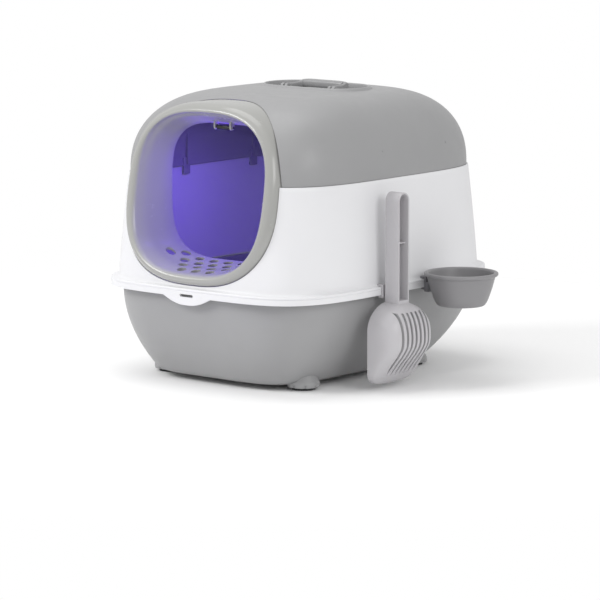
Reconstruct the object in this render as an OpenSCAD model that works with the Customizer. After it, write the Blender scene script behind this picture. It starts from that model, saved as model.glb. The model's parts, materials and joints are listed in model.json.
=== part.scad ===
// Hooded cat litter box: a rounded pan, a white middle shell with a flange, a domed lid with
// a folding carry handle, a ring-shaped entrance tunnel with a clear swing flap, a hooked
// scoop, a clip-on bowl and a battery lamp under the roof.
// +Z is up, the entrance faces -Y, the scoop and bowl hang on the +X side, and the origin is
// on the floor under the middle of the box. All sizes are millimetres.

/* [Pan] */
// Half width of the pan wall at its rim
pan_half_x = 187.5; // [182:0.5:188.5]
// Half length of the pan wall at its rim
pan_half_y = 238.5; // [232:0.5:240]
// Height of the pan's rim above the floor
pan_top = 136.5; // [120:0.5:136.5]
// Height of the pan's underside above the floor
pan_base = 8; // [6:1:14]
// How far the flat underside lies in from the rim at each side
pan_taper_x = 55; // [40:1:65]
// How far the flat underside lies in from the rim, mean of front and back
pan_taper_y = 63; // [55:1:75]
// How far forward the flat underside sits, so the back slopes more than the front
pan_forward = 21; // [0:1:30]
// Wall thickness of the pan
pan_wall = 2.8; // [2:0.1:4]

/* [Middle shell] */
// Half width of the flange
flange_half_x = 199; // [197:1:202]
// Half length of the flange
flange_half_y = 250; // [249:1:252]
// Height of the flange's lower edge
flange_low = 130; // [126:1:131]
// Height of the flange's upper face
flange_high = 142; // [140:1:144]
// Half width of the front tab at the flange's lower edge
tab_half = 44; // [36:1:50]
// How far the tab hangs below the flange
tab_drop = 11.5; // [8:0.5:14]

/* [Lid] */
// Height of the joint between the middle shell and the lid
seam_z = 290; // [280:1:300]
// Height of the dome above the joint
dome_high = 112; // [105:1:114]
// Wall thickness of the shells
wall = 2.6; // [2:0.1:3.2]

/* [Entrance] */
// Half width of the ring's opening
mouth_half_x = 116; // [112:1:118]
// Half height of the ring's opening
mouth_half_z = 111; // [106:1:112]
// Half width of the ring's collar where it passes through the shells
ring_half_x = 137; // [135:1:139]
// Half height of the collar
ring_half_z = 126.5; // [125:0.5:127]
// How far back the tunnel's inner end lies
tunnel_back = -160; // [-165:1:-155]

/* [Scoop and bowl] */
// Place of the scoop along the box
scoop_y = -54; // [-60:1:-48]
// Height of the top of the scoop's handle
scoop_top = 276; // [260:1:280]
// Place of the bowl along the box
bowl_y = 46; // [42:1:60]
// Outer radius of the bowl's rim
bowl_r = 52.5; // [48:0.5:53]

/* [Hidden] */
plan_steps = 72;      // points round each shell section
fine = 48;            // facets of the round parts
big = 400;            // larger than any cut
gap = 0.3;            // clearance between pieces that only lie together

grey = "#a6a7a8";
ring_grey = "#b4b4b0";
white = "#e8e8ea";
scoop_grey = "#bdbbbe";
bowl_grey = "#8e8d8f";
dark = "#3c3b3e";

// ---- Shell outlines -------------------------------------------------------------------------

// Point at angle t of the rounded oblong |x/a|^n + |y/b|^n = 1
function oblong(t, a, b, n) =
    let (r = pow(pow(abs(cos(t)) / a, n) + pow(abs(sin(t)) / b, n), -1 / n))
    [r * cos(t), r * sin(t)];

// The oblong as a flat list of points
function outline(a, b, n) = [for (i = [0:plan_steps - 1]) oblong(360 * i / plan_steps, a, b, n)];

// The oblong as a level section at height z
function section(a, b, n, z) = [for (p = outline(a, b, n)) [p.x, p.y, z]];

// Side faces between neighbouring rings of m points each
function bands(m, pairs) =
    [for (p = pairs, i = [0:m - 1])
        let (a0 = p[0] * m + i, a1 = p[0] * m + (i + 1) % m,
             b0 = p[1] * m + i, b1 = p[1] * m + (i + 1) % m)
        each [[a0, b0, b1], [a0, b1, a1]]];

// Solid through level sections, lowest first, with flat ends
module loft(rings) {
    m = len(rings[0]);
    k = len(rings);
    polyhedron(
        points = [for (r = rings) each r],
        faces = concat([[for (i = [0:m - 1]) i]],
                       [[for (i = [m - 1:-1:0]) (k - 1) * m + i]],
                       bands(m, [for (j = [0:k - 2]) [j, j + 1]])));
}

// Solid ring whose cross-section runs through a closed loop of outlines
module loop_loft(rings) {
    k = len(rings);
    polyhedron(points = [for (r = rings) each r],
               faces = bands(len(rings[0]), [for (j = [0:k - 1]) [j, (j + 1) % k]]));
}

// Flat band between two oblongs, z0 to z1
module oblong_band(a, b, n, t, z0, z1) {
    translate([0, 0, z0]) linear_extrude(z1 - z0) difference() {
        polygon(outline(a, b, n));
        polygon(outline(a - t, b - t, n));
    }
}

module round_box(x, y, r) {
    square([x - 2 * r, y], center = true);
    square([x, y - 2 * r], center = true);
    for (i = [-1, 1], j = [-1, 1]) translate([i * (x / 2 - r), j * (y / 2 - r)])
        circle(r, $fn = fine);
}

// ---- Pan ------------------------------------------------------------------------------------

pan_power = 2;        // 2 makes the wall steep at the rim and sloping at the floor
pan_edge = 7;         // radius where the wall meets the floor
pan_rings = 9;
front_foot = [123, -143];
back_foot = [112, 118];
foot_r = 23;
disc_high = 11;        // top of each foot's upright edge, above which it slopes inwards
foot_high = 26;
foot_top_r = 12;
pad_r = 17;
pad_high = 3.5;
rim_half_x = 193.5;
rim_half_y = 244.5;
rim_thick = 3.2;

// Pan section at height z, moved in by t, with extra inset e; its corners get squarer lower down
function pan_section(z, t, e) =
    let (f = (pan_top - z) / (pan_top - pan_base), q = pow(f, pan_power))
    [for (p = outline(pan_half_x - t - e - q * pan_taper_x, pan_half_y - t - e - q * pan_taper_y,
                      4.2 + (e > pan_edge / 2 ? 0.1 : 0.9 * f)))
        [p.x, p.y - q * pan_forward, z]];

// Pan sections from the floor up, moved in by t
function pan_sections(t) =
    let (low = pan_base + t, r = pan_edge)
    concat([for (a = [0:30:60]) pan_section(low + r * (1 - cos(a)), t, r * (1 - sin(a)))],
           [for (i = [0:pan_rings])
               let (z0 = low + r, z = z0 + (pan_top - z0) * i / pan_rings)
               pan_section(z, t, 0)]);

function foot_places() = [for (f = [front_foot, back_foot], s = [-1, 1]) [s * f.x, f.y]];

module pan() {
    color(grey) difference() {
        union() {
            loft(pan_sections(0));
            oblong_band(rim_half_x, rim_half_y, 4.5, 12, pan_top - rim_thick, pan_top);
            for (p = foot_places()) translate([p.x, p.y, 0]) {
                translate([0, 0, pad_high]) cylinder(r = foot_r, h = disc_high - pad_high, $fn = fine);
                translate([0, 0, disc_high])
                    cylinder(r1 = foot_r, r2 = foot_top_r, h = foot_high - disc_high, $fn = fine);
            }
        }
        loft(concat(pan_sections(pan_wall),
                    [[for (p = pan_section(pan_top, pan_wall, 0)) [p.x, p.y, pan_top + 2]]]));
        for (p = foot_places(), a = [0:45:315]) translate([p.x, p.y, 0]) rotate([0, 0, a])
            translate([foot_r, 0, -1]) cylinder(r = 2.6, h = 8, $fn = 16);
    }
}

module rubber_feet() {
    color(dark) for (p = foot_places()) translate([p.x, p.y, 0])
        cylinder(r1 = pad_r - 1, r2 = pad_r, h = pad_high, $fn = fine);
}

// ---- Entrance outline, shared by the ring and the cuts it passes through ---------------------

ring_z = 271;         // height of the middle of the ring
lean = tan(10);       // the ring leans back as it rises
front_y = -223;       // the ring's face at its middle height
mouth_power = 2.93;   // roundness of the opening
ring_power = 2.65;    // roundness of the ring's outside
hole_half_x = 103;
hole_half_z = 96;
hole_power = 3.3;
hole_z = 269;
collar_wall = 2.5;
collar_lean = 84 / 250;

// Outline in a plane leaning back by slope, y0 at its middle
function arch(a, b, n, zc, y0, slope) =
    [for (p = outline(a, b, n)) [p.x, y0 + slope * p.y, zc + p.y]];

// Prism along Y with the ring's outside, grown by g
module collar_cut(g) {
    translate([0, -100, ring_z]) rotate([90, 0, 0]) linear_extrude(200)
        polygon(outline(ring_half_x + g, ring_half_z + g, ring_power));
}

// ---- Middle shell ---------------------------------------------------------------------------

shell_low = [191, 242];       // half sizes of the wall at the flange
shell_high = [186.5, 227.5];  // and at the seam
skirt = 3;
slot_long = 24;
slot_high = 4;

// Wall sections moved in by t, from inside the flange up to the seam
function shell_sections(t) =
    [for (i = [0:6])
        let (f = i / 6, e = pow(f, 1.25), z0 = flange_high - 1)
        section(shell_low[0] - t + e * (shell_high[0] - shell_low[0]),
                shell_low[1] - t + e * (shell_high[1] - shell_low[1]),
                4.5 - 0.4 * f, z0 + f * (seam_z - z0))];

// Grip tab of the skirt, as a prism through the box along Y
module tab_prism() {
    rotate([90, 0, 0]) linear_extrude(2 * big, center = true) intersection() {
        translate([-tab_half, flange_low - tab_drop]) square([2 * tab_half, tab_drop + 1]);
        translate([0, flange_low + 68]) circle(80, $fn = 96);
    }
}

module mid_shell() {
    color(white) difference() {
        union() {
            loop_loft(concat(shell_sections(0), let (s = shell_sections(wall))
                             [for (i = [len(s) - 1:-1:0]) s[i]]));
            oblong_band(flange_half_x, flange_half_y, 4.7, 13, flange_high - skirt, flange_high);
            oblong_band(flange_half_x, flange_half_y, 4.7, skirt, flange_low, flange_high - 1);
            intersection() {
                oblong_band(flange_half_x, flange_half_y, 4.7, skirt,
                            flange_low - tab_drop - 1, flange_low + 1);
                tab_prism();
            }
        }
        collar_cut(gap);
        for (y = [-flange_half_y, flange_half_y]) translate([0, y, flange_low + 2])
            cube([slot_long, 12, slot_high], center = true);
    }
}

// ---- Lid ------------------------------------------------------------------------------------

lid_half = [185, 226];        // half sizes of the lid at the seam
dome_round = [92, 130];       // how far the dome rounds in, across and along
dome_power = 2.37;
dome_rings = 12;
crown = 1.8;                  // rise of the roof over the rounded edge
lid_gap = 1.2;                // clearance round the entrance ring
recess_y = 38;                // middle of the handle's recess
recess_r = 44;
recess_half = 38;             // from the middle to the centre of each round end
recess_floor = 396;
rim_top = 406.5;
pivot_y = 20;
pivot_z = 402.5;
pin_r = 2;
lug_x = 47;                   // middle of each pivot lug
lug_thick = 5;

// Dome sections moved in by t
function dome_sections(t) =
    let (h = dome_high - t, a = lid_half[0] - t, b = lid_half[1] - t)
    concat([section(a, b, 4.05, seam_z + gap - (t > 0 ? 1 : 0))],
           [for (i = [1:dome_rings])
               let (s = 90 * i / dome_rings,
                    c = pow(max(cos(s), 0), 2 / dome_power), u = pow(sin(s), 2 / dome_power))
               section(a - (1 - c) * dome_round[0], b - (1 - c) * dome_round[1],
                       4.05 - 1.05 * (1 - c), seam_z + gap + h * u)],
           [section(a - dome_round[0] - 45, b - dome_round[1] - 45, 2.6,
                    seam_z + gap + h + crown)]);

module stadium(r, half) {
    square([2 * half, 2 * r], center = true);
    for (x = [-half, half]) translate([x, 0]) circle(r, $fn = 64);
}

module recess_layer(r, z0, z1) {
    translate([0, recess_y, z0]) linear_extrude(z1 - z0) stadium(r, recess_half);
}

module lid() {
    color(grey) {
        difference() {
            union() {
                difference() {
                    union() {
                        loft(dome_sections(0));
                        recess_layer(recess_r + 3, recess_floor, rim_top - 1);
                        recess_layer(recess_r + 1.8, rim_top - 1, rim_top);
                    }
                    loft(dome_sections(wall));
                }
                recess_layer(recess_r + wall, recess_floor - wall, rim_top - 4);
                oblong_band(183.3, 224.2, 4.1, 2.5, seam_z - 8, seam_z + 2);
                for (x = [-18, 18]) translate([x, -62, 397]) cylinder(r = 4.5, h = 4, $fn = fine);
            }
            recess_layer(recess_r, recess_floor, rim_top + 5);
            collar_cut(lid_gap);
            for (x = [-18, 18]) translate([x, -62, 396]) cylinder(r = 1.25, h = 5, $fn = fine);
        }
        for (s = [-1, 1]) difference() {
            translate([s * lug_x - lug_thick / 2, pivot_y - 5, recess_floor - 1])
                cube([lug_thick, 10, pivot_z + 4.5 - recess_floor + 1]);
            translate([s * lug_x, pivot_y, pivot_z]) rotate([0, 90, 0])
                cylinder(r = pin_r, h = 20, center = true, $fn = fine);
        }
    }
}

clip_y = [-40, 109];   // middles of the snap tongues on each side
clip_low = 270;
rib_high = 330;

// Inner face of the lid's wall at its seam, y along from the middle
function seam_x(y) =
    (lid_half[0] - wall) * pow(1 - pow(abs(y) / (lid_half[1] - wall), 4.05), 1 / 4.05);

module lid_clips() {
    color(grey) for (s = [0, 1], y = clip_y) mirror([s, 0, 0])
        translate([seam_x(y), y, 0]) rotate(atan(seam_x(y - 0.5) - seam_x(y + 0.5))) {
            translate([-2.1, -7, clip_low]) cube([2.2, 14, 24]);
            translate([-0.7, -7, clip_low + 1]) cube([1.8, 14, 3]);
            translate([-4.4, -1.2, clip_low + 14]) cube([4.2, 2.4, rib_high - clip_low - 14]);
        }
}

handle_reach = 36;    // from the pivot line to the grip's middle
handle_half = 39.6;   // from the middle to each arm's middle
grip_r = 6;

module carry_handle() {
    color(bowl_grey) {
        translate([0, pivot_y + handle_reach, pivot_z + 3]) rotate([0, 90, 0])
            cylinder(r = grip_r, h = 2 * handle_half + 5, center = true, $fn = fine);
        for (s = [-1, 1]) translate([s * handle_half, 0, 0]) difference() {
            union() {
                translate([-2.5, pivot_y, pivot_z - 3.5]) cube([5, handle_reach, 8.5]);
                translate([0, pivot_y, pivot_z]) rotate([0, 90, 0])
                    cylinder(r = 4.8, h = 5, center = true, $fn = fine);
            }
            translate([0, pivot_y, pivot_z]) rotate([0, 90, 0])
                cylinder(r = pin_r + 0.06, h = 20, center = true, $fn = fine);
        }
    }
}

module handle_pins() {
    color(dark) for (s = [-1, 1]) translate([s * 43.4, pivot_y, pivot_z]) rotate([0, 90, 0])
        cylinder(r = pin_r, h = 12.6, center = true, $fn = fine);
}

// ---- Entrance ring --------------------------------------------------------------------------

tread_r = 7;          // holes in the tunnel floor that drop stray litter back into the pan
tread_pitch_x = 26;
tread_pitch_y = 18;

module entrance_ring() {
    rw = ring_half_x - 3.5;
    rh = ring_half_z - 1.5;
    cw = ring_half_x;
    ch = ring_half_z;
    tw = collar_wall;
    color(ring_grey) difference() {
        loop_loft([
            arch(cw, ch, ring_power, ring_z, -180, collar_lean),
            arch(cw, ch, ring_power, ring_z, front_y + 17, lean),
            arch(rw + 1.2, rh + 0.6, ring_power, ring_z, front_y + 7, lean),
            arch(rw - 1, rh - 1, ring_power, ring_z, front_y + 2, lean),
            arch(rw - 4, rh - 4, ring_power, ring_z, front_y - 2.5, lean),
            arch(rw - 8.5, rh - 8, ring_power, ring_z, front_y - 4.5, lean),
            arch(rw - 13, rh - 11.5, 2.8, ring_z + 0.5, front_y - 3, lean),
            arch(mouth_half_x, mouth_half_z, mouth_power, ring_z + 1.5, front_y, lean),
            arch(mouth_half_x - 1.5, mouth_half_z - 1.5, mouth_power, ring_z + 1.5, front_y + 6, lean),
            arch((mouth_half_x + hole_half_x) / 2, (mouth_half_z + hole_half_z) / 2, 3.1,
                 (ring_z + hole_z) / 2, (front_y + tunnel_back) / 2, lean / 2),
            arch(hole_half_x, hole_half_z, hole_power, hole_z, tunnel_back, 0),
            arch(hole_half_x + tw, hole_half_z + tw, hole_power, hole_z, tunnel_back + 1, 0),
            arch((mouth_half_x + hole_half_x) / 2 + tw, (mouth_half_z + hole_half_z) / 2 + tw, 3.1,
                 (ring_z + hole_z) / 2, (front_y + tunnel_back) / 2 + 1, lean / 2),
            arch(mouth_half_x + tw, mouth_half_z + tw, 2.8, ring_z + 0.5, front_y + 8, lean),
            arch(rw - tw, rh - tw, ring_power, ring_z, front_y + 8, lean),
            arch(cw - tw, ch - tw, ring_power, ring_z, front_y + 17, lean),
            arch(cw - tw, ch - tw, ring_power, ring_z, -180, collar_lean)
        ]);
        for (j = [0:3], i = [-3:3])
            let (x = (i + (j % 2) / 2) * tread_pitch_x, y = -229 + j * tread_pitch_y)
            if (abs(x) < 46 + 18 * j) translate([x, y, 150])
                cylinder(r = tread_r, h = 40, $fn = 32);
    }
}

hinge_y = -168;
hinge_z = 361;
hinge_pin_r = 1.5;
ear_x = 14.5;
ear_thick = 3;

module flap_ears() {
    color(ring_grey) for (s = [-1, 1]) difference() {
        union() {
            translate([s * ear_x - ear_thick / 2, hinge_y - 4, hinge_z]) cube([ear_thick, 8, 10]);
            translate([s * ear_x, hinge_y, hinge_z]) rotate([0, 90, 0])
                cylinder(r = 4, h = ear_thick, center = true, $fn = fine);
        }
        translate([s * ear_x, hinge_y, hinge_z]) rotate([0, 90, 0])
            cylinder(r = hinge_pin_r, h = 9, center = true, $fn = fine);
    }
}

module flap_pin() {
    color(dark) translate([0, hinge_y, hinge_z]) rotate([0, 90, 0])
        cylinder(r = hinge_pin_r, h = 35, center = true, $fn = fine);
}

flap_thick = 1.6;
flap_half = [98, 89.5];
flap_z = 265;
knuckle_r = 3.4;

module flap_door() {
    color("#c9cde8", 0.35) difference() {
        union() {
            translate([0, hinge_y + flap_thick / 2, flap_z]) rotate([90, 0, 0])
                linear_extrude(flap_thick) polygon(outline(flap_half[0], flap_half[1], 3.3));
            translate([0, hinge_y, hinge_z]) rotate([0, 90, 0])
                cylinder(r = knuckle_r, h = 24, center = true, $fn = fine);
            translate([-12, hinge_y - flap_thick / 2, hinge_z - 12]) cube([24, flap_thick, 10.5]);
        }
        translate([0, hinge_y, hinge_z]) rotate([0, 90, 0])
            cylinder(r = hinge_pin_r + 0.06, h = 40, center = true, $fn = fine);
    }
}

// ---- Scoop ----------------------------------------------------------------------------------

flange_x = flange_half_x;     // the flange is straight where the scoop and bowl hang
clip_thick = 3;
clip_wide = 20;
hook_out = flange_x + gap;    // inner face of the hooks' outer leg
handle_back = 207;
handle_face = 231;
handle_wide = 24;
handle_low = 112;
channel_wall = 2.5;
channel_low = 123;            // bottom of the channel
peg_wide = 8;
peg_thick = 3;
peg_z = 131;                  // height at which the peg leaves the hook
peg_slot_low = peg_z + handle_back - hook_out - 1 - gap;
peg_slot_high = channel_wall + sqrt(2) * peg_thick + 2 * gap;

// C-shaped clip over the flange, wide along Y
module flange_clip(wide, leg_low) {
    translate([flange_x - 7, -wide / 2, flange_high + gap])
        cube([7 + gap + clip_thick, wide, clip_thick]);
    translate([hook_out, -wide / 2, leg_low])
        cube([clip_thick, wide, flange_high + gap + clip_thick - leg_low]);
    translate([flange_x - 5, -wide / 2, flange_low - gap - clip_thick])
        cube([5 + gap + clip_thick, wide, clip_thick]);
}

module scoop_hook() {
    color(dark) translate([0, scoop_y, 0]) {
        flange_clip(clip_wide, flange_low - gap - clip_thick);
        translate([hook_out + 2.2, -peg_wide / 2, peg_z + 1.2]) rotate([0, -45, 0])
            cube([17.3, peg_wide, peg_thick]);
    }
}

// Upright outline with a round top, seen along X
module round_top(half, low) {
    translate([0, scoop_top - handle_wide / 2]) circle(half, $fn = fine);
    translate([-half, low]) square([2 * half, scoop_top - handle_wide / 2 - low]);
}

// The channel in the handle's front, which stops just above the blade's shoulder
module channel_cut() {
    round_top(handle_wide / 2 - channel_wall, channel_low);
}

// Places a flat shape drawn in (Y, Z) so that it stands at x0 and is t thick along X
module stand_x(x0, t) {
    translate([x0, 0, 0]) rotate([90, 0, 90]) linear_extrude(t) children();
}

blade_rim = 205;              // the blade's open side, nearest the box
blade_low = 8;
blade_top = 122;
face_half = 36;               // half width of the slotted face
rim_half = 49;                // half width of the open rim
blade_wall = 2.4;
slots = 7;
slot_pitch = 9.6;
slot_wide = 4.6;

// Side profile of the blade in (X, Z), moved in by t: shoulder, bulge, crease and tip
function blade_side(t) = concat(
    [[blade_rim - (t > 0 ? 5 : 0), blade_low + t * 1.4], [212 - t, blade_low + t * 1.4],
     [252 - t, 58 + t / 2], [254 - t, 68]],
    [for (a = [10:10:90]) [222 + (32 - t) * cos(a), 74 + (48 - t) * sin(a)]],
    [[blade_rim - (t > 0 ? 5 : 0), blade_top - t]]);

// Front outline of the blade in (Y, Z): round shoulders and rounded tip corners
function blade_front(t) = concat(
    [for (a = [180:15:270]) [-rim_half + t + 24 + 24 * cos(a), blade_low + 16 + 16 * sin(a) + t / 2]],
    [for (a = [270:15:360]) [rim_half - t - 24 + 24 * cos(a), blade_low + 16 + 16 * sin(a) + t / 2]],
    [for (a = [0:15:180]) [(rim_half - t) * cos(a), 84 + (blade_top - 84 - t) * sin(a)]]);

// Plan of the blade in (X, Y): wide at the rim, narrower at the slotted face
function blade_plan(t) = [
    [blade_rim - 6, rim_half - t + 2], [blade_rim - 6, -rim_half + t - 2],
    [246, -face_half - 5 + t], [254 + 1 - t, -face_half + 4 + t],
    [254 + 1 - t, face_half - 4 - t], [246, face_half + 5 - t]];

module blade_solid(t) {
    intersection() {
        rotate([90, 0, 0]) linear_extrude(2 * rim_half, center = true) polygon(blade_side(t));
        stand_x(blade_rim - 8, 80) polygon(blade_front(t));
        translate([0, 0, -1]) linear_extrude(140) polygon(blade_plan(t));
    }
}

module scoop() {
    color(scoop_grey) translate([0, scoop_y, 0]) {
        difference() {
            union() {
                difference() {
                    blade_solid(0);
                    blade_solid(blade_wall);
                }
                stand_x(handle_back, handle_face - handle_back) round_top(handle_wide / 2, handle_low);
            }
            stand_x(handle_back + channel_wall, handle_face - handle_back) channel_cut();
            translate([handle_back - 1, -peg_wide / 2 - gap, peg_slot_low])
                cube([6, peg_wide + 2 * gap, peg_slot_high]);
            for (i = [0:slots - 1]) translate([0, (i - (slots - 1) / 2) * slot_pitch, 0])
                rotate([90, 0, 0]) linear_extrude(slot_wide, center = true)
                    polygon([[226, 106], [270, 106], [270, 50], [232, 12], [218, 22], [240, 60],
                             [240, 92]]);
        }
        stand_x(handle_back + 1, 17) translate([-handle_wide / 2 + 1, 204])
            square([handle_wide - 2, 1.8]);
    }
}

// ---- Bowl -----------------------------------------------------------------------------------

bowl_x = 255.5;
bowl_top = 156;
bowl_low = 108.5;
bowl_base_r = 35;
tab_plate = 2;
pocket_wide = 18;

module bowl_clip() {
    color(dark) translate([0, bowl_y, 0]) {
        flange_clip(24, 124);
        for (s = [-1, 1]) translate([hook_out + clip_thick - 0.5, s * 10.5 - 1.5, 124])
            cube([5.3, 3, 14]);
        translate([hook_out + clip_thick + 2.8, -12, 124]) cube([2, 24, 14]);
        translate([hook_out, -12, 124]) cube([7.8, 24, 2]);
    }
}

module bowl() {
    color(bowl_grey) {
        translate([bowl_x, bowl_y, 0]) rotate_extrude($fn = 96) polygon([
            [0, bowl_low], [bowl_base_r - 5, bowl_low], [bowl_base_r, bowl_low + 2],
            [bowl_base_r + 3.5, bowl_low + 7], [47.5, bowl_top - 9], [48.2, bowl_top - 5.5],
            [bowl_r - 1.2, bowl_top - 4.5], [bowl_r, bowl_top - 2.5], [bowl_r - 0.8, bowl_top - 0.4],
            [bowl_r - 2, bowl_top], [47, bowl_top], [45.6, bowl_top - 3], [45, bowl_top - 9],
            [bowl_base_r + 1, bowl_low + 8], [bowl_base_r - 5, bowl_low + 2.6],
            [0, bowl_low + 2.6]]);
        translate([hook_out + clip_thick + 0.4, bowl_y - pocket_wide / 2 + 0.5, 127])
            cube([tab_plate, pocket_wide - 1, bowl_top - 3 - 127]);
        translate([hook_out + clip_thick + 0.4, bowl_y - pocket_wide / 2 + 0.5, bowl_top - 9])
            cube([6.6, pocket_wide - 1, 4]);
    }
}

// ---- Lamp -----------------------------------------------------------------------------------

lamp_y = -65;                 // middle of the lamp
lamp_wide = 52;
lamp_long = 106;
lamp_low = 377.6;
lamp_high = 397;
lamp_wall = 1.8;
button_y = -60.5;
button_r = 3.95;
lens_y = -90.5;
door_y = -31.5;
cell_r = 5.2;
cell_long = 44;
board_z = 390;

module lamp_case() {
    color(white) difference() {
        translate([0, lamp_y, lamp_low]) linear_extrude(lamp_high - lamp_low)
            round_box(lamp_wide, lamp_long, 8);
        translate([0, -85, lamp_low + 3.4]) linear_extrude(lamp_high - lamp_low - 5.2)
            round_box(lamp_wide - 2 * lamp_wall, 62, 5);
        translate([0, door_y, lamp_low + 3.4]) linear_extrude(lamp_high - lamp_low - 5.2)
            round_box(lamp_wide - 2 * lamp_wall, 36, 2);
        translate([0, lens_y, lamp_low - 1]) linear_extrude(6) round_box(44.4, 48.4, 5.2);
        translate([-21.5, -49.5, lamp_low - 1]) cube([43, 40, 6]);
        translate([-24.2, -49.8, lamp_low + 1.4]) cube([48.4, 40, 2.2]);
        translate([0, button_y, lamp_low - 1]) cylinder(r = button_r + 0.08, h = 8, $fn = fine);
        for (x = [-18, 18]) translate([x, -62, 390]) cylinder(r = 1.6, h = 12, $fn = fine);
    }
}

module lamp_lens() {
    color("#cfc8ff") translate([0, lens_y, lamp_low]) linear_extrude(3.4) round_box(44, 48, 5);
}

module lamp_board() {
    color("#2f6b45") difference() {
        translate([-22, -114, board_z]) cube([44, 57, 1.6]);
        for (x = [-18, 18]) translate([x, -62, board_z - 1]) cylinder(r = 3.4, h = 4, $fn = fine);
    }
}

module lamp_leds() {
    color("#d8ccff") for (x = [-12, 0, 12], y = [-103, -78]) translate([x, y, board_z - 2.6]) {
        cylinder(r = 2.5, h = 2.6, $fn = 24);
        sphere(r = 2.5, $fn = 24);
    }
}

module lamp_switch() {
    color(dark) {
        translate([-3, button_y - 3, board_z - 2.2]) cube([6, 6, 2.2]);
        translate([0, button_y, board_z - 2.8]) cylinder(r = 1.6, h = 1, $fn = 24);
    }
}

module lamp_button() {
    color("#cfcdd2") translate([0, button_y, 0]) {
        translate([0, 0, lamp_low - 1.4]) cylinder(r = button_r, h = 9.7, $fn = fine);
        translate([0, 0, lamp_low + 3.7]) cylinder(r = button_r + 1.2, h = 1.4, $fn = fine);
    }
}

module lamp_door() {
    color(white) intersection() {
        union() {
            translate([-24, -49.5, lamp_low + 1.6]) cube([48, 40, 1.7]);
            translate([-21.2, -49.2, lamp_low]) cube([42.4, 40, 1.8]);
        }
        translate([0, lamp_y, lamp_low - 1]) linear_extrude(8)
            round_box(lamp_wide - gap, lamp_long - gap, 8);
    }
}

module lamp_cells() {
    color("#b9b4a8") for (y = [-44, -32.5, -21]) translate([0, y, 387.4]) rotate([0, 90, 0])
        cylinder(r = cell_r, h = cell_long, center = true, $fn = fine);
}

module lamp_contacts() {
    color("#c8c8c8") for (s = [-1, 1], y = [-44, -32.5, -21]) translate([0, y, 387.4]) {
        translate([s * 23.7 - 0.4, -4, -4]) cube([0.8, 8, 8]);
        translate([s * 22.7, 0, 0]) rotate([0, 90, 0]) cylinder(r = 2, h = 1.3, center = true, $fn = 24);
    }
}

module lamp_screws() {
    color("#9a9a9a") for (x = [-18, 18]) translate([x, -62, 0]) {
        translate([0, 0, 393.2]) cylinder(r = 2.8, h = 2, $fn = fine);
        translate([0, 0, 395]) cylinder(r = 1.25, h = 5.8, $fn = fine);
    }
}

pan();
rubber_feet();
mid_shell();
lid();
lid_clips();
carry_handle();
handle_pins();
entrance_ring();
flap_ears();
flap_pin();
flap_door();
scoop_hook();
scoop();
bowl_clip();
bowl();
lamp_case();
lamp_lens();
lamp_board();
lamp_leds();
lamp_switch();
lamp_button();
lamp_door();
lamp_cells();
lamp_contacts();
lamp_screws();
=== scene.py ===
import json
import math

import bmesh
import bpy
import numpy as np
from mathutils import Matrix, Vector


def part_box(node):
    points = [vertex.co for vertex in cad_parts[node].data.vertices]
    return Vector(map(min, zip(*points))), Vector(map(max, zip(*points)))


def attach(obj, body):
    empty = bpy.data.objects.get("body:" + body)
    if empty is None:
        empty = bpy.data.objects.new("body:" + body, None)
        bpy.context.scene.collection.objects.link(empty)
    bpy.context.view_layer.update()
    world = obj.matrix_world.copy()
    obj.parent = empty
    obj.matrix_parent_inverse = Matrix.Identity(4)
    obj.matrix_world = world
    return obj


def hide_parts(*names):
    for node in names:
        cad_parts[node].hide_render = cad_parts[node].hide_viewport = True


# A hooded litter box: pan, middle shell, domed lid, entrance ring, swing flap, scoop and bowl.
# Shapes are worked out in millimetres and stored in metres, in the model's own frame.

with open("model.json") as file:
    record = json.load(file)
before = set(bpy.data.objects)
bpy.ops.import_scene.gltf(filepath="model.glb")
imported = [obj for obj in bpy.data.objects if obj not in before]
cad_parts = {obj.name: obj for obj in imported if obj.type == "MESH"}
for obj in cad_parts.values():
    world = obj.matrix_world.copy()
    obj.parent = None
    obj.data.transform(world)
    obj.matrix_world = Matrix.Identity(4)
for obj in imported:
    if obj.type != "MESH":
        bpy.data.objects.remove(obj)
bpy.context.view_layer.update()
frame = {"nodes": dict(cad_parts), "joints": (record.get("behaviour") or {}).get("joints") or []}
AROUND = 256  # points round the big shells


def span(node):
    """Lowest and highest corner of a node at rest, in millimetres."""
    low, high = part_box(node)
    return np.array(low) * 1000, np.array(high) * 1000


# ---- Mesh building --------------------------------------------------------------------------


def grid(points, wrap_rows=False, poles=False):
    """Closed-column grid (rows, columns, 3): quads join each row to the next, and the last column
    to the first. wrap_rows joins the last row to the first as well. With poles, a point at the
    mean of the first row and one at the mean of the last close the two ends with fans."""
    rows, cols = points.shape[:2]
    r = np.arange(rows if wrap_rows else rows - 1)[:, None]
    c = np.arange(cols)[None, :]
    r2, c2 = (r + 1) % rows, (c + 1) % cols
    quads = np.stack([r * cols + c, r * cols + c2, r2 * cols + c2, r2 * cols + c], -1).reshape(-1, 4)
    flat = points.reshape(-1, 3)
    tris = np.zeros((0, 3), int)
    if poles:
        flat = np.vstack([flat, points[0].mean(0), points[-1].mean(0)])
        k, n = np.arange(cols), rows * cols
        k2 = (k + 1) % cols
        last = (rows - 1) * cols
        tris = np.vstack([np.stack([k2, k, np.full(cols, n)], 1),
                          np.stack([last + k, last + k2, np.full(cols, n + 1)], 1)])
    return flat, quads, tris


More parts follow.
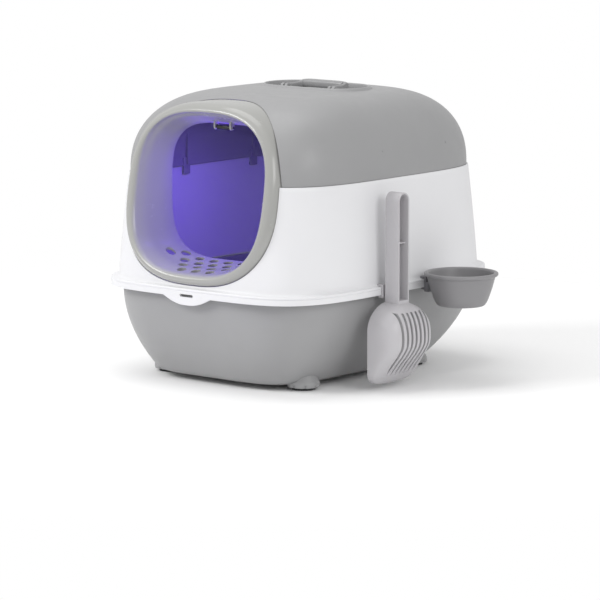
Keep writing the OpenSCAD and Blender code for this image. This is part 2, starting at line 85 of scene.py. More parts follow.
def mesh_of(name, parts):
    """One mesh from several closed parts, points in millimetres, with every face turned outwards."""
    points, faces, start = [], [], 0
    for flat, quads, tris in parts:
        points.append(flat)
        faces += (quads + start).tolist() + (tris + start).tolist()
        start += len(flat)
    mesh = bpy.data.meshes.new(name)
    mesh.from_pydata((np.vstack(points) * 0.001).tolist(), [], faces)
    made = bmesh.new()
    made.from_mesh(mesh)
    bmesh.ops.remove_doubles(made, verts=made.verts, dist=1e-7)
    bmesh.ops.recalc_face_normals(made, faces=made.faces)
    made.to_mesh(mesh)
    made.free()
    return mesh


def carve(piece, cutters):
    """Takes the closed cutter parts away from the piece, and keeps the result as its mesh."""
    tool = bpy.data.objects.new("cutter", mesh_of("cutter", cutters))
    bpy.context.collection.objects.link(tool)
    cut = piece.modifiers.new("cut", "BOOLEAN")
    cut.operation, cut.solver, cut.object = "DIFFERENCE", "EXACT", tool
    cut.use_self = True
    view = bpy.context.evaluated_depsgraph_get()
    carved = bpy.data.meshes.new_from_object(piece.evaluated_get(view))
    piece.modifiers.clear()
    piece.data = carved
    bpy.data.objects.remove(tool)


def piece(name, parts, finish, body, stands_for, slot, cutters=(), crease=32):
    """A finished piece: its mesh, its cuts, smooth faces with sharp edges above crease degrees."""
    made = bpy.data.objects.new(name, mesh_of(name, parts))
    bpy.context.collection.objects.link(made)
    for cut in cutters:
        carve(made, cut)
    mesh = made.data
    mesh.materials.clear()
    mesh.materials.append(finish)
    mesh.polygons.foreach_set("use_smooth", np.ones(len(mesh.polygons), bool))
    mesh.polygons.foreach_set("material_index", np.zeros(len(mesh.polygons), np.int32))
    mesh.set_sharp_from_angle(angle=math.radians(crease))
    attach(made, body)
    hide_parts(*stands_for)
    return made


def turn(count=AROUND):
    """Angles once round, in radians."""
    return np.linspace(0, 2 * np.pi, count, endpoint=False)


def oblong(a, b, n, count=AROUND):
    """Outline |x/a|^n + |y/b|^n = 1, by equal angles: radius = (|cos/a|^n + |sin/b|^n)^(-1/n)."""
    t = turn(count)
    r = (np.abs(np.cos(t) / a) ** n + np.abs(np.sin(t) / b) ** n) ** (-1 / n)
    return np.stack([r * np.cos(t), r * np.sin(t)], 1)


def level(a, b, n, z, cy=0.0, count=AROUND):
    """An oblong outline lying level at height z, its middle at y = cy."""
    flat = oblong(a, b, n, count)
    return np.column_stack([flat[:, 0], flat[:, 1] + cy, np.full(count, float(z))])


def stadium(r, half, count=192):
    """Outline of two half circles of radius r with centres at x = -half and x = half, by equal
    steps of length."""
    straight, bend = 2 * half, np.pi * r
    s = np.linspace(0, 2 * (straight + bend), count, endpoint=False)
    a = np.clip(s / r, 0, np.pi) - np.pi / 2
    right = s < bend
    top = (s >= bend) & (s < bend + straight)
    left = (s >= bend + straight) & (s < 2 * bend + straight)
    low = s >= 2 * bend + straight
    b = np.clip((s - bend - straight) / r, 0, np.pi) + np.pi / 2
    x = (right * (half + r * np.cos(a)) + top * (half - (s - bend))
         + left * (-half + r * np.cos(b)) + low * (-half + (s - 2 * bend - straight)))
    y = right * r * np.sin(a) + top * r + left * r * np.sin(b) - low * r
    return np.stack([x, y], 1)


def round_oblong(x, y, r, count=96):
    """Outline of an x by y box with corners of radius r: four arcs joined by straight lines."""
    t = turn(count)
    cx = np.where(np.cos(t) >= 0, 1, -1) * (x / 2 - r)
    cy = np.where(np.sin(t) >= 0, 1, -1) * (y / 2 - r)
    return np.stack([cx + r * np.cos(t), cy + r * np.sin(t)], 1)


def slab(outline, z0, z1, soft=0.6):
    """Prism of a flat outline from z0 to z1 with rounded edges: near each end the outline is
    moved in along its own normals by soft*(1 - sin a) while the height moves by soft*(1 - cos a)."""
    step = np.roll(outline, -1, 0) - np.roll(outline, 1, 0)
    normal = np.stack([step[:, 1], -step[:, 0]], 1)
    normal /= np.linalg.norm(normal, axis=1)[:, None] + 1e-12
    a = np.radians(np.linspace(0, 90, 5))
    inset = soft * (1 - np.sin(a))
    rise = soft * (1 - np.cos(a))
    rows = [np.column_stack([outline - i * normal, np.full(len(outline), z0 + h)])
            for i, h in zip(inset, rise)]
    rows += [np.column_stack([outline - i * normal, np.full(len(outline), z1 - h)])
             for i, h in zip(inset[::-1], rise[::-1])]
    return np.array(rows)


def lathe(profile, cx, cy, count=96):
    """Profile of (radius, height) rows turned about the upright line through (cx, cy)."""
    t = turn(count)
    r, z = profile[:, :1], profile[:, 1:]
    return np.stack([cx + r * np.cos(t), cy + r * np.sin(t), z + 0 * t], -1)


def facing_x(points, x=0.0, y=0.0, z=0.0):
    """Turns (u, v, depth) to (x + depth, y + u, z + v)."""
    return np.stack([points[..., 2] + x, points[..., 0] + y, points[..., 1] + z], -1)


def facing_y(points, x=0.0, y=0.0, z=0.0):
    """Turns (u, v, depth) to (x + u, y + depth, z + v)."""
    return np.stack([points[..., 0] + x, points[..., 2] + y, points[..., 1] + z], -1)


def smooth_rows(rows, steps):
    """Catmull-Rom curve through the rows: each gap is filled with steps points of the cubic whose
    slope at a row is half the difference of its neighbours."""
    p = np.asarray(rows, float)
    e = np.concatenate([[2 * p[0] - p[1]], p, [2 * p[-1] - p[-2]]])
    a, b, c, d = e[:-3], e[1:-2], e[2:-1], e[3:]
    t = (np.arange(steps) / steps).reshape((1, steps) + (1,) * (p.ndim - 1))
    a, b, c, d = (q[:, None] for q in (a, b, c, d))
    curve = 0.5 * (2 * b + (c - a) * t + (2 * a - 5 * b + 4 * c - d) * t ** 2
                   + (3 * b - a - 3 * c + d) * t ** 3)
    return np.concatenate([curve.reshape((-1,) + p.shape[1:]), p[-1:]])


# ---- Materials ------------------------------------------------------------------------------


def linear(code):
    """sRGB hex colour to linear RGBA."""
    v = np.array([int(code[i:i + 2], 16) / 255 for i in (1, 3, 5)])
    v = np.where(v <= 0.04045, v / 12.92, ((v + 0.055) / 1.055) ** 2.4)
    return (*v.tolist(), 1.0)


def add(tree, kind, place=None, **sockets):
    """Adds a node. sockets: a socket's name with _ for spaces, set to a value or to a linked
    output; a name that is a property of the node, such as operation, sets that property."""
    node = tree.nodes.new(kind)
    for name, value in sockets.items():
        if hasattr(node, name):
            setattr(node, name, value)
            continue
        key = name.replace("_", " ")
        key = int(key[1:]) if key[0] == "i" and key[1:].isdigit() else key
        if isinstance(value, bpy.types.NodeSocket):
            tree.links.new(value, node.inputs[key])
        else:
            node.inputs[key].default_value = value
    return node


def moulded(name, colour, roughness, grain_mm=1.1, bump=0.05, mottle=0.03, coat=0.0, **shader):
    """Injection-moulded plastic. The mould's fine spark texture breaks the highlight, slow flow
    variation shifts colour and gloss by a few per cent, and faint scuffs roughen it in places."""
    made = bpy.data.materials.new(name)
    made.use_nodes = True
    tree = made.node_tree
    tree.nodes.clear()
    place = add(tree, "ShaderNodeTexCoord").outputs["Object"]
    flow = add(tree, "ShaderNodeTexNoise", Vector=place, Scale=9.0, Detail=3.0, Roughness=0.5)
    grain = add(tree, "ShaderNodeTexNoise", Vector=place, Scale=1000 / grain_mm, Detail=2.0,
                Roughness=0.6)
    scuff = add(tree, "ShaderNodeTexNoise", Vector=place, Scale=60.0, Detail=6.0, Roughness=0.7)
    base = np.array(linear(colour)[:3])
    tint = add(tree, "ShaderNodeValToRGB", Fac=flow.outputs["Fac"])
    tint.color_ramp.elements[0].position, tint.color_ramp.elements[1].position = 0.3, 0.7
    tint.color_ramp.elements[0].color = (*(base * (1 - mottle)), 1)
    tint.color_ramp.elements[1].color = (*np.minimum(base * (1 + mottle), 1), 1)
    gloss = add(tree, "ShaderNodeMapRange", Value=scuff.outputs["Fac"], From_Min=0.35,
                From_Max=0.75, To_Min=roughness - 0.03, To_Max=roughness + 0.08)
    relief = add(tree, "ShaderNodeBump", Height=grain.outputs["Fac"], Strength=bump,
                 Distance=0.0004)
    body = add(tree, "ShaderNodeBsdfPrincipled", Base_Color=tint.outputs["Color"],
               Roughness=gloss.outputs["Result"], Normal=relief.outputs["Normal"], IOR=1.49)
    body.inputs["Coat Weight"].default_value = coat
    body.inputs["Coat Roughness"].default_value = 0.12
    for socket, value in shader.items():
        body.inputs[socket.replace("_", " ")].default_value = value
    add(tree, "ShaderNodeOutputMaterial", Surface=body.outputs["BSDF"])
    return made


# Satin polypropylene of the pan and lid: soft broad highlight, even light grey.
grey_pp = moulded("grey polypropylene, satin moulded", "#9A9A9B", 0.40)
# White polypropylene of the middle shell, a little cooler than paper.
white_pp = moulded("white polypropylene, satin moulded", "#E4E4E6", 0.38, mottle=0.012)
# The ring's polished tool gives a clear highlight along the bead.
ring_pp = moulded("ring polypropylene, polished moulded", "#A3A3A0", 0.22, bump=0.01, mottle=0.01,
                  coat=0.3)
# Scoop polypropylene, slightly pink grey.
scoop_pp = moulded("scoop polypropylene, satin moulded", "#BDBBBE", 0.36)
# Darker grey polypropylene of the bowl.
bowl_pp = moulded("bowl polypropylene, satin moulded", "#8A898B", 0.40)
# The carry handle is the lid's grey, worn a little smoother by hands.
grip_pp = moulded("handle polypropylene, satin moulded", "#929293", 0.34)
# Hinge barrel of the flap: black glossy acetal.
barrel_pom = moulded("hinge acetal, moulded", "#1B1A1E", 0.22, bump=0.01)
# Clip plastic with a coarser spark texture.
clip_pp = moulded("clip polypropylene, textured moulded", "#77767A", 0.5, grain_mm=1.4, bump=0.12)
# Soft rubber pads: dull and nearly black.
pad_rubber = moulded("foot rubber, pressed", "#3A3A3C", 0.75, grain_mm=1.6, bump=0.2)
# Lamp housing ABS.
lamp_abs = moulded("lamp ABS, satin moulded", "#E2E0E8", 0.4)
# Diffusing acrylic that glows violet from the diodes behind it.
lens_acrylic = moulded("lamp acrylic, moulded diffuser", "#B9A8FF", 0.3, bump=0.01,
                       Emission_Color=linear("#8A6BFF"), Emission_Strength=1.2)
# Solder mask over a glass-fibre board.
board_mask = moulded("circuit board, solder masked", "#2F6B45", 0.3, bump=0.02)
# Clear epoxy domes of the diodes.
led_epoxy = moulded("diode epoxy, cast", "#D8CCFF", 0.12, bump=0.0, coat=0.4)
# Shrink sleeve round dry cells.
cell_sleeve = moulded("cell sleeve, shrunk film", "#B9B4A8", 0.25, bump=0.02, coat=0.3)


def drawn_steel():
    """Nickel-plated drawn steel: bright metal with fine lines along its length."""
    made = bpy.data.materials.new("steel, drawn and nickel plated")
    made.use_nodes = True
    tree = made.node_tree
    tree.nodes.clear()
    place = add(tree, "ShaderNodeTexCoord").outputs["Object"]
    long = add(tree, "ShaderNodeMapping", Vector=place, Scale=(40.0, 1600.0, 1600.0))
    lines = add(tree, "ShaderNodeTexNoise", Vector=long.outputs["Vector"], Scale=1.0, Detail=3.0)
    gloss = add(tree, "ShaderNodeMapRange", Value=lines.outputs["Fac"], To_Min=0.18, To_Max=0.34)
    body = add(tree, "ShaderNodeBsdfPrincipled", Base_Color=linear("#C4C2BE"), Metallic=1.0,
               Roughness=gloss.outputs["Result"])
    add(tree, "ShaderNodeOutputMaterial", Surface=body.outputs["BSDF"])
    return made


def clear_sheet():
    """Clear moulded polycarbonate: almost all light passes, with a faint gloss and a slight haze
    from fine wiping marks."""
    made = bpy.data.materials.new("polycarbonate, clear moulded")
    made.use_nodes = True
    tree = made.node_tree
    tree.nodes.clear()
    place = add(tree, "ShaderNodeTexCoord").outputs["Object"]
    wipe = add(tree, "ShaderNodeTexNoise", Vector=place, Scale=35.0, Detail=5.0)
    haze = add(tree, "ShaderNodeMapRange", Value=wipe.outputs["Fac"], To_Min=0.01, To_Max=0.03)
    body = add(tree, "ShaderNodeBsdfPrincipled", Base_Color=linear("#8C86C8"), Roughness=0.3,
               IOR=1.2, Alpha=haze.outputs["Result"])
    add(tree, "ShaderNodeOutputMaterial", Surface=body.outputs["BSDF"])
    return made


steel = drawn_steel()
clear_pc = clear_sheet()

# ---- Pan ------------------------------------------------------------------------------------

pan_high = span("pan")[1]
pan_top = pan_high[2]
pan_floor = 8.0
pan_half = np.array([pan_high[0] - 6, pan_high[1] - 6])
pan_taper = np.array([55.0, 63.0])


def pan_row(z, t, inset=0.0):
    """Pan outline at height z, its wall moved in by t: the half sizes shrink by the taper times
    the square of the share of the way down, and the corners get squarer towards the floor."""
    f = np.clip((pan_top - z) / (pan_top - pan_floor), 0, 1)
    half = pan_half - t - inset - f ** 2 * pan_taper
    return level(half[0], half[1], 4.2 + 0.9 * f, z, -21 * f ** 2)


def pan_wall_rows(t):
    """Rows from the flat floor out round its edge and up the wall."""
    low, r = pan_floor + t, 7.0
    a = np.radians(np.linspace(0, 75, 6))
    edge = [pan_row(low + r * (1 - math.cos(q)), t, r * (1 - math.sin(q))) for q in a]
    return edge + [pan_row(z, t) for z in np.linspace(low + r, pan_top - (3.2 if t == 0 else 0), 28)]


def shrunk(row, share):
    """A row drawn in towards its own middle."""
    middle = row.mean(0)
    return middle + (row - middle) * share


outer, inner = pan_wall_rows(0.0), pan_wall_rows(2.8)
lip = [level(*(pan_half + 6 - d), 4.45, z) for d, z in
       ((3.0, pan_top - 3.2), (0.6, pan_top - 3.2), (0.0, pan_top - 2.6), (0.0, pan_top - 0.6),
        (0.6, pan_top))]
pan_rows = ([shrunk(outer[0], s) for s in (0.2, 0.5, 0.8, 0.97)] + outer + lip + inner[::-1]
            + [shrunk(inner[0], s) for s in (0.97, 0.8, 0.5, 0.2)])
feet_low, feet_high = span("rubber_feet")
foot_r, pad_r = 23.0, 17.0
front_foot = (feet_high[0] - pad_r, feet_low[1] + pad_r)
back_foot = (112.0, feet_high[1] - pad_r)


def foot(cx, cy):
    """Foot disc: a turned profile whose edge, below 8 mm, dips in by 2.4 mm at eight notches
    round it, each a smooth bump of cos(4 angle) raised to a high power."""
    profile = np.array([(16.0, 3.5), (20.0, 3.5), (22.4, 3.9), (foot_r, 5.0), (foot_r, 7.0),
                        (foot_r, 8.5), (foot_r, 10.5), (22.0, 12.0), (18.0, 18.0), (12.0, 26.0)])
    points = lathe(profile, 0, 0, 128)
    notch = np.cos(4 * turn(128)) ** 24
    depth = np.clip((8.5 - profile[:, 1]) / 1.2, 0, 1) * np.clip((profile[:, 0] - 18) / 2, 0, 1)
    share = 1 - (2.4 / foot_r) * depth[:, None] * notch[None, :]
    points[..., :2] *= share[..., None]
    return points + np.array([cx, cy, 0.0])


feet = [grid(foot(s * x, y), poles=True) for x, y in (front_foot, back_foot) for s in (-1, 1)]
piece("pan_moulding", [grid(np.array(pan_rows), poles=True)] + feet, grey_pp, "base", ["pan"],
      "grey_pp", crease=40)

# ---- Middle shell ---------------------------------------------------------------------------

shell_low, shell_high = span("mid_shell")
flange = np.array([shell_high[0], shell_high[1]])
seam = shell_high[2]
flange_top, skirt_low = 142.0, 130.0
wall = 2.6
shell_foot = (191, 242)  # half sizes of the shell where it meets the flange
ring_low, ring_high = span("entrance_ring")
ring_z = (ring_low[2] + ring_high[2]) / 2
collar = np.array([ring_high[0], (ring_high[2] - ring_low[2]) / 2])


def shell_row(z, t):
    """Shell outline at height z: half sizes go from the flange's to the seam's with the share of
    the height raised to 1.25, and the corners ease from power 4.5 to 4.1."""
    f = np.clip((z - flange_top + 1) / (seam - flange_top + 1), 0, 1)
    e = f ** 1.25
    return level(shell_foot[0] - 4.5 * e - t, shell_foot[1] - 14.5 * e - t, 4.5 - 0.4 * f, z)


def flange_row(inset, z):
    """Flange outline at height z, moved in by inset."""
    return level(flange[0] - inset, flange[1] - inset, 4.7, z)


def tab_drop(row, share):
    """Lowers the front and back of a skirt row by a shallow arc of radius 80 mm, at most 11.5 mm."""
    row = row.copy()
    arc = np.sqrt(np.clip(6400 - row[:, 0] ** 2, 0, None)) - 68
    row[:, 2] -= share * np.clip(arc, 0, 11.5) * (np.abs(row[:, 1]) > 150)
    return row


heights = np.linspace(flange_top + 3.5, seam - 0.7, 26)
fillet = [(shell_foot[0] + 0.4, 144.2), (shell_foot[0] + 1.2, 142.9), (shell_foot[0] + 2.4, 142.15)]
shell_rows = ([shell_row(z, wall) for z in np.linspace(139.2, seam - 0.5, 20)]
              + [shell_row(seam, wall - 0.5), shell_row(seam, 0.5)]
              + [shell_row(z, 0) for z in heights[::-1]]
              + [level(x, x + 51, 4.53, z) for x, z in fillet]
              + [flange_row(i, z) for i, z in
                 ((3.0, 142.0), (1.4, 141.95), (0.5, 141.6), (0.08, 140.8), (0.0, 139.9), (0.0, 139.2),
                  (0.55, 138.9), (0.75, 138.5), (0.7, 138.1), (0.1, 137.7), (0.0, 137.2),
                  (0.0, 134.5), (0.0, 132.0))]
              + [tab_drop(flange_row(i, z), s) for i, z, s in
                 ((0.0, 131.4, 0.9), (0.15, 130.5, 0.98), (0.6, 130.05, 1.0), (1.5, 130.0, 1.0),
                  (2.5, 130.05, 1.0), (2.9, 130.6, 0.98), (3.0, 131.4, 0.9))]
              + [flange_row(3.0, 134.5), flange_row(3.0, 138.4), flange_row(3.8, 139.0)])


def prism_y(outline, y0, y1):
    """Prism along Y of an outline drawn in (x, z)."""
    return np.array([np.column_stack([outline[:, 0], np.full(len(outline), y), outline[:, 1]])
                     for y in (y0, y1)])


def collar_cutter(grow):
    """Prism with the ring's outline, grown, that opens the front of the shells."""
    outline = oblong(collar[0] + grow, collar[1] + grow, 2.65) + np.array([0, ring_z])
    return grid(prism_y(outline, -300, -100), poles=True)


slot_outline = round_oblong(24, 4, 1.9, 48) + np.array([0, skirt_low + 2])
slots = [grid(prism_y(slot_outline, y - 8, y + 8), poles=True) for y in (shell_low[1], shell_high[1])]
piece("middle_shell", [grid(np.array(shell_rows), wrap_rows=True)], white_pp, "shell",
      ["mid_shell"], "white_pp", cutters=[[collar_cutter(-0.8)], slots], crease=38)

# ---- Lid ------------------------------------------------------------------------------------

dome_low = seam + 0.3
dome_high, dome_power = 112.0, 2.37
lid_half = (185, 226)    # half sizes of the lid at the seam
dome_round = (92, 130)   # how far the dome rounds in, across and along
recess_y, recess_half, recess_floor = 38.0, 38.0, 396.0
rim_top = 406.5


def dome_row(s, t):
    """Dome outline at the turn s (0 at the seam, 90 degrees at the roof): height follows
    sin(s)^(2/p) and the half sizes round in by 1 - cos(s)^(2/p)."""
    c = max(math.cos(math.radians(s)), 0) ** (2 / dome_power)
    u = math.sin(math.radians(s)) ** (2 / dome_power)
    return level(lid_half[0] - t - (1 - c) * dome_round[0],
                 lid_half[1] - t - (1 - c) * dome_round[1], 4.05 - 1.05 * (1 - c),
                 dome_low + (dome_high - t) * u)


def roof_rows(t):
    """Roof from the rounded edge to its middle, rising by 1.8 mm and then level."""
    z = dome_low + dome_high - t
    a, b = (half - bend - t for half, bend in zip(lid_half, dome_round))
    return [level(a * k, b * k, 3.0 - 0.4 * (1 - k), z + 1.8 * min((1 - k) / 0.48, 1) ** 0.8)
            for k in (0.94, 0.86, 0.76, 0.64, 0.5, 0.35, 0.2, 0.08)]


turns = 90 * np.linspace(0, 1, 40) ** 0.9
outside = [dome_row(s, 0) for s in turns]
inside = [dome_row(s, wall) for s in turns]
lid_edge = [level(lid_half[0] - 0.4, lid_half[1] - 0.4, 4.05, dome_low - 0.02),
            level(183.4, 224.3, 4.1, dome_low), level(183.2, 224.1, 4.1, dome_low - 1),
            level(183.2, 224.1, 4.1, dome_low - 7.8), level(182.8, 223.7, 4.1, dome_low - 8.3),
            level(181.2, 222.1, 4.1, dome_low - 8.3), level(180.8, 221.7, 4.1, dome_low - 7.8)]
outside[0][:, 2] += 0.4
lid_rows = (roof_rows(0)[::-1] + outside[::-1] + lid_edge + inside + roof_rows(wall))


def stadium_rows(rows):
    """Stadium outlines about the recess's middle, each given as (radius, height); below a radius
    of 6 mm the straight part shortens too, so the rows close on the middle."""
    return np.array([np.column_stack([
        stadium(r, recess_half * min(r / 40, 1)) + np.array([0, recess_y]), np.full(192, z)])
        for r, z in rows])


tray = stadium_rows([
    (4, recess_floor - wall), (30, recess_floor - wall), (45, recess_floor - wall),
    (46.6, recess_floor - 1), (46.6, 400.5), (50.4, 402.0), (49.4, 403.6), (47.9, 405.0),
    (47.2, 405.9), (46.4, 406.4), (45.6, rim_top), (44.9, 406.3), (44.3, 405.7), (44.0, 404.8),
    (44.0, 399.0), (43.6, 397.2), (42.4, 396.3), (40.5, recess_floor), (30, recess_floor),
    (4, recess_floor)])
pivot = np.array(next(j for j in frame["joints"] if j["name"] == "handle_fold")["pos_m"]) * 1000
pivot_y, pivot_z = float(pivot[1]), float(pivot[2])
lug_outline = stadium(4.6, 1.4, 64)[::-1, ::-1] * np.array([1.05, 1.0]) + np.array([0, -1.5])
lugs = [grid(facing_x(slab(lug_outline, -2.5, 2.5), s * 47, pivot_y, pivot_z), poles=True)
        for s in (-1, 1)]
posts = [grid(lathe(np.array([(2.0, 397.0), (4.2, 397.0), (4.5, 397.4), (4.5, 401.0), (2.0, 401.0)]),
                    s * 18, -62, 48), poles=True) for s in (-1, 1)]
roof_cut = grid(np.array([np.column_stack([stadium(46.5, recess_half) + np.array([0, recess_y]),
                                           np.full(192, z)]) for z in (380.0, 440.0)]), poles=True)
piece("lid_dome", [grid(np.array(lid_rows), poles=True)], grey_pp, "hood", ["lid"], "grey_pp",
      cutters=[[roof_cut], [collar_cutter(0.5)]], crease=38)
piece("lid_handle_tray", [grid(tray, poles=True)] + lugs + posts, grey_pp, "hood", [], "grey_pp")

# ---- Carry handle ---------------------------------------------------------------------------

grip_low, grip_high = span("carry_handle")
grip_r = 6.0
grip_y, grip_z = grip_high[1] - grip_r, grip_high[2] - grip_r
arm_x = 39.6


def rounded_path(corners, radius, steps=10):
    """Path through the corners with each inner corner turned by an arc: the arc is the quadratic
    curve from radius before the corner to radius after it."""
    path = [corners[0]]
    for before, at, after in zip(corners[:-2], corners[1:-1], corners[2:]):
        a = at + (before - at) / np.linalg.norm(before - at) * radius
        b = at + (after - at) / np.linalg.norm(after - at) * radius
        t = np.linspace(0, 1, steps)[:, None]
        path += list((1 - t) ** 2 * a + 2 * t * (1 - t) * at + t ** 2 * b)
    return np.array(path + [corners[-1]])


def sweep(path, wide, high, power=3.0, count=48):
    """Oblong section, wide by high at each point, carried along a level path and kept upright."""
    along = np.gradient(path, axis=0)
    along /= np.linalg.norm(along, axis=1)[:, None]
    side = np.cross(along, [0.0, 0.0, 1.0])
    side /= np.linalg.norm(side, axis=1)[:, None]
    section = oblong(1.0, 1.0, power, count)
    return (path[:, None] + section[None, :, :1] * side[:, None] * wide[:, None, None] / 2
            + section[None, :, 1:] * np.array([0, 0, 1.0]) * high[:, None, None] / 2)


handle_path = rounded_path(np.array([
    (-arm_x, pivot_y, pivot_z + 0.6), (-arm_x, grip_y - 9, pivot_z + 0.9),
    (-arm_x + 0.5, grip_y, grip_z - 1),
    (-arm_x + 12, grip_y, grip_z), (arm_x - 12, grip_y, grip_z), (arm_x - 0.5, grip_y, grip_z - 1),
    (arm_x, grip_y - 9, pivot_z + 0.9), (arm_x, pivot_y, pivot_z + 0.6)]), 3.5)
on_grip = np.clip((handle_path[:, 1] - (grip_y - 10)) / 10, 0, 1)
grip = sweep(handle_path, 4.9 + 6.8 * on_grip, 7.6 + 4.3 * on_grip, 2.6)
grip[..., 0] = np.clip(grip[..., 0], grip_low[0], grip_high[0])
eyes = [grid(facing_x(slab(stadium(4.7, 0.01, 64), -2.4, 2.4), s * arm_x, pivot_y, pivot_z), poles=True)
        for s in (-1, 1)]
piece("carry_handle_grip", [grid(grip, poles=True)] + eyes, grip_pp, "handle", ["carry_handle"],
      "bowl_pp", crease=50)

# ---- Entrance ring --------------------------------------------------------------------------

lean = math.tan(math.radians(10))
face_y, tunnel_back = -223.0, -160.0
tread_x, tread_y = 26.0, 18.0


def arch(a, b, n, z, y, slope):
    """Oblong outline standing in a plane that leans back by slope, at y in its middle."""
    flat = oblong(a, b, n)
    return np.column_stack([flat[:, 0], y + slope * flat[:, 1], z + flat[:, 1]])


cw, ch = collar
rw, rh, tw = cw - 3.5, ch - 1.5, 2.5
ring_bead = [
    arch(cw, ch, 2.65, ring_z, face_y + 17, lean),
    arch(rw + 1.4, rh + 0.8, 2.65, ring_z, face_y + 9, lean),
    arch(rw - 0.4, rh - 0.5, 2.65, ring_z, face_y + 3, lean),
    arch(rw - 3.6, rh - 3.6, 2.65, ring_z, face_y - 1.6, lean),
    arch(rw - 8.5, rh - 8, 2.66, ring_z, face_y - 4.3, lean),
    arch(rw - 13, rh - 11.5, 2.75, ring_z + 0.5, face_y - 3.6, lean),
    arch(rw - 16.5, rh - 13.6, 2.88, ring_z + 1.2, face_y - 0.6, lean),
    arch(rw - 18.6, rh - 15, 2.93, ring_z + 1.5, face_y + 4.5, lean),
    arch(115.0 * 0.72 + 103 * 0.28, 110 * 0.72 + 96 * 0.28, 3.0, ring_z + 0.8, -206.5, lean * 0.72),
    arch(109, 103, 3.12, ring_z - 0.8, -191, lean / 2),
    arch(105.5, 99, 3.22, ring_z - 1.5, -175, lean / 4)]
ring_rows = np.concatenate([
    [arch(cw, ch, 2.65, ring_z, -180, 84 / 250), arch(cw, ch, 2.65, ring_z, -194, 0.26)],
    smooth_rows(ring_bead, 5),
    [arch(103.2, 96.2, 3.3, 269, tunnel_back - 1.2, 0), arch(103.2, 96.2, 3.3, 269, tunnel_back - 0.3, 0),
     arch(103.8, 96.8, 3.3, 269, tunnel_back, 0), arch(104.9, 97.9, 3.3, 269, tunnel_back, 0),
     arch(105.5, 98.5, 3.3, 269, tunnel_back - 0.5, 0), arch(108, 101.5, 3.2, 269.5, -175, lean / 4),
     arch(111.7, 106, 3.1, 270, -190, lean / 2),
     arch(rw - 15, rh - 12, 2.8, ring_z + 0.5, face_y + 8, lean),
     arch(rw - tw, rh - tw, 2.65, ring_z, face_y + 9, lean),
     arch(cw - tw, ch - tw, 2.65, ring_z, face_y + 17, lean),
     arch(cw - tw, ch - tw, 2.65, ring_z, -180, 84 / 250)]])
treads = []
for j in range(4):
    for i in range(-3, 4):
        x, y = (i + (j % 2) / 2) * tread_x, -229 + j * tread_y
        if abs(x) < 46 + 18 * j:
            hole = np.array([(7.0, 150.0), (7.0, 190.0)])
            treads.append(grid(lathe(hole, x, y, 40), poles=True))
piece("entrance_ring_moulding", [grid(ring_rows, wrap_rows=True)], ring_pp, "shell",
      ["entrance_ring"], "ring_gloss", cutters=[treads], crease=42)

# ---- Flap -----------------------------------------------------------------------------------

hinge = np.array(next(j for j in frame["joints"] if j["name"] == "flap_swing")["pos_m"]) * 1000
hinge_y, hinge_z = float(hinge[1]), float(hinge[2])
door = facing_y(slab(oblong(98, 89.5, 3.3, 192), -0.8, 0.8, 0.5), 0, hinge_y, 265.0)
knuckle = facing_x(slab(stadium(3.4, 0.01, 48), -12, 12, 0.4), 0, hinge_y, hinge_z)
piece("flap_sheet", [grid(door, poles=True)], clear_pc, "flap", ["flap_door"], "clear_flap")
piece("flap_knuckle", [grid(knuckle, poles=True)], barrel_pom, "flap", [], "dark_clip", crease=50)
ear_outline = stadium(4.0, 3.0, 64)[::-1, ::-1] + np.array([0, 3.0])
ears = [grid(facing_x(slab(ear_outline, -1.5, 1.5, 0.5), s * 14.5, hinge_y, hinge_z), poles=True)
        for s in (-1, 1)]
piece("flap_ear_posts", ears, ring_pp, "shell", ["flap_ears"], "ring_gloss", crease=50)

# ---- Scoop ----------------------------------------------------------------------------------

scoop_low, scoop_high = span("scoop")
scoop_y = (scoop_low[1] + scoop_high[1]) / 2
scoop_top = scoop_high[2]
blade_rim, blade_low, blade_top = scoop_low[0], scoop_low[2], 122.0
blade_half = (scoop_high[1] - scoop_low[1]) / 2
handle_back, handle_wide = 207.0, 24.0


def blade_rows(count=90, across=56):
    """Blade as a stack of crescents. At height z the outside is half an oblong, half width h(z)
    by depth d(z), and the inside is the same moved in by the wall; the two meet at the rim.
    h(z) is a round top and rounded tip corners; d(z) follows the side: slanted face, crease,
    bulge and shoulder."""
    z = blade_low + (blade_top - blade_low) * (1 - np.cos(np.linspace(0, np.pi, count))) / 2
    top = np.sqrt(np.clip(1 - ((z - 84) / (blade_top - 84)) ** 2, 0, 1))
    tip = 24 * np.sqrt(np.clip(1 - ((24 - z) / 16) ** 2, 0, 1))
    h = np.where(z > 84, blade_half * top, np.where(z < 24, blade_half - 24 + tip, blade_half))
    shoulder = 17 + 32 * np.sqrt(np.clip(1 - ((z - 74) / 48) ** 2, 0, 1))
    face = np.interp(z, [8, 12, 30, 50, 58, 63, 68, 74], [6, 10.4, 24.3, 40.4, 45.6, 47.9, 48.8, 49])
    d = np.where(z > 74, shoulder, face)
    t = np.linspace(-np.pi / 2, np.pi / 2, across)
    n = 4.2
    sy = np.sign(np.sin(t)) * np.abs(np.sin(t)) ** (2 / n)
    sx = np.abs(np.cos(t)) ** (2 / n)
    inner_h, inner_d = np.maximum(h - 2.4, 0.05), np.maximum(d - 2.6, 0.5)
    out = np.stack([blade_rim + d[:, None] * sx, scoop_y + h[:, None] * sy, z[:, None] + 0 * sx], -1)
    back = np.stack([blade_rim + 0.02 + inner_d[:, None] * sx, scoop_y + inner_h[:, None] * sy,
                     z[:, None] + 0 * sx], -1)[:, ::-1]
    return np.concatenate([out, back], 1)


slot_side = np.array([(229, 112), (266, 106), (266, 50), (236, 9), (221, 20), (241, 60),
                      (243, 90)], float)


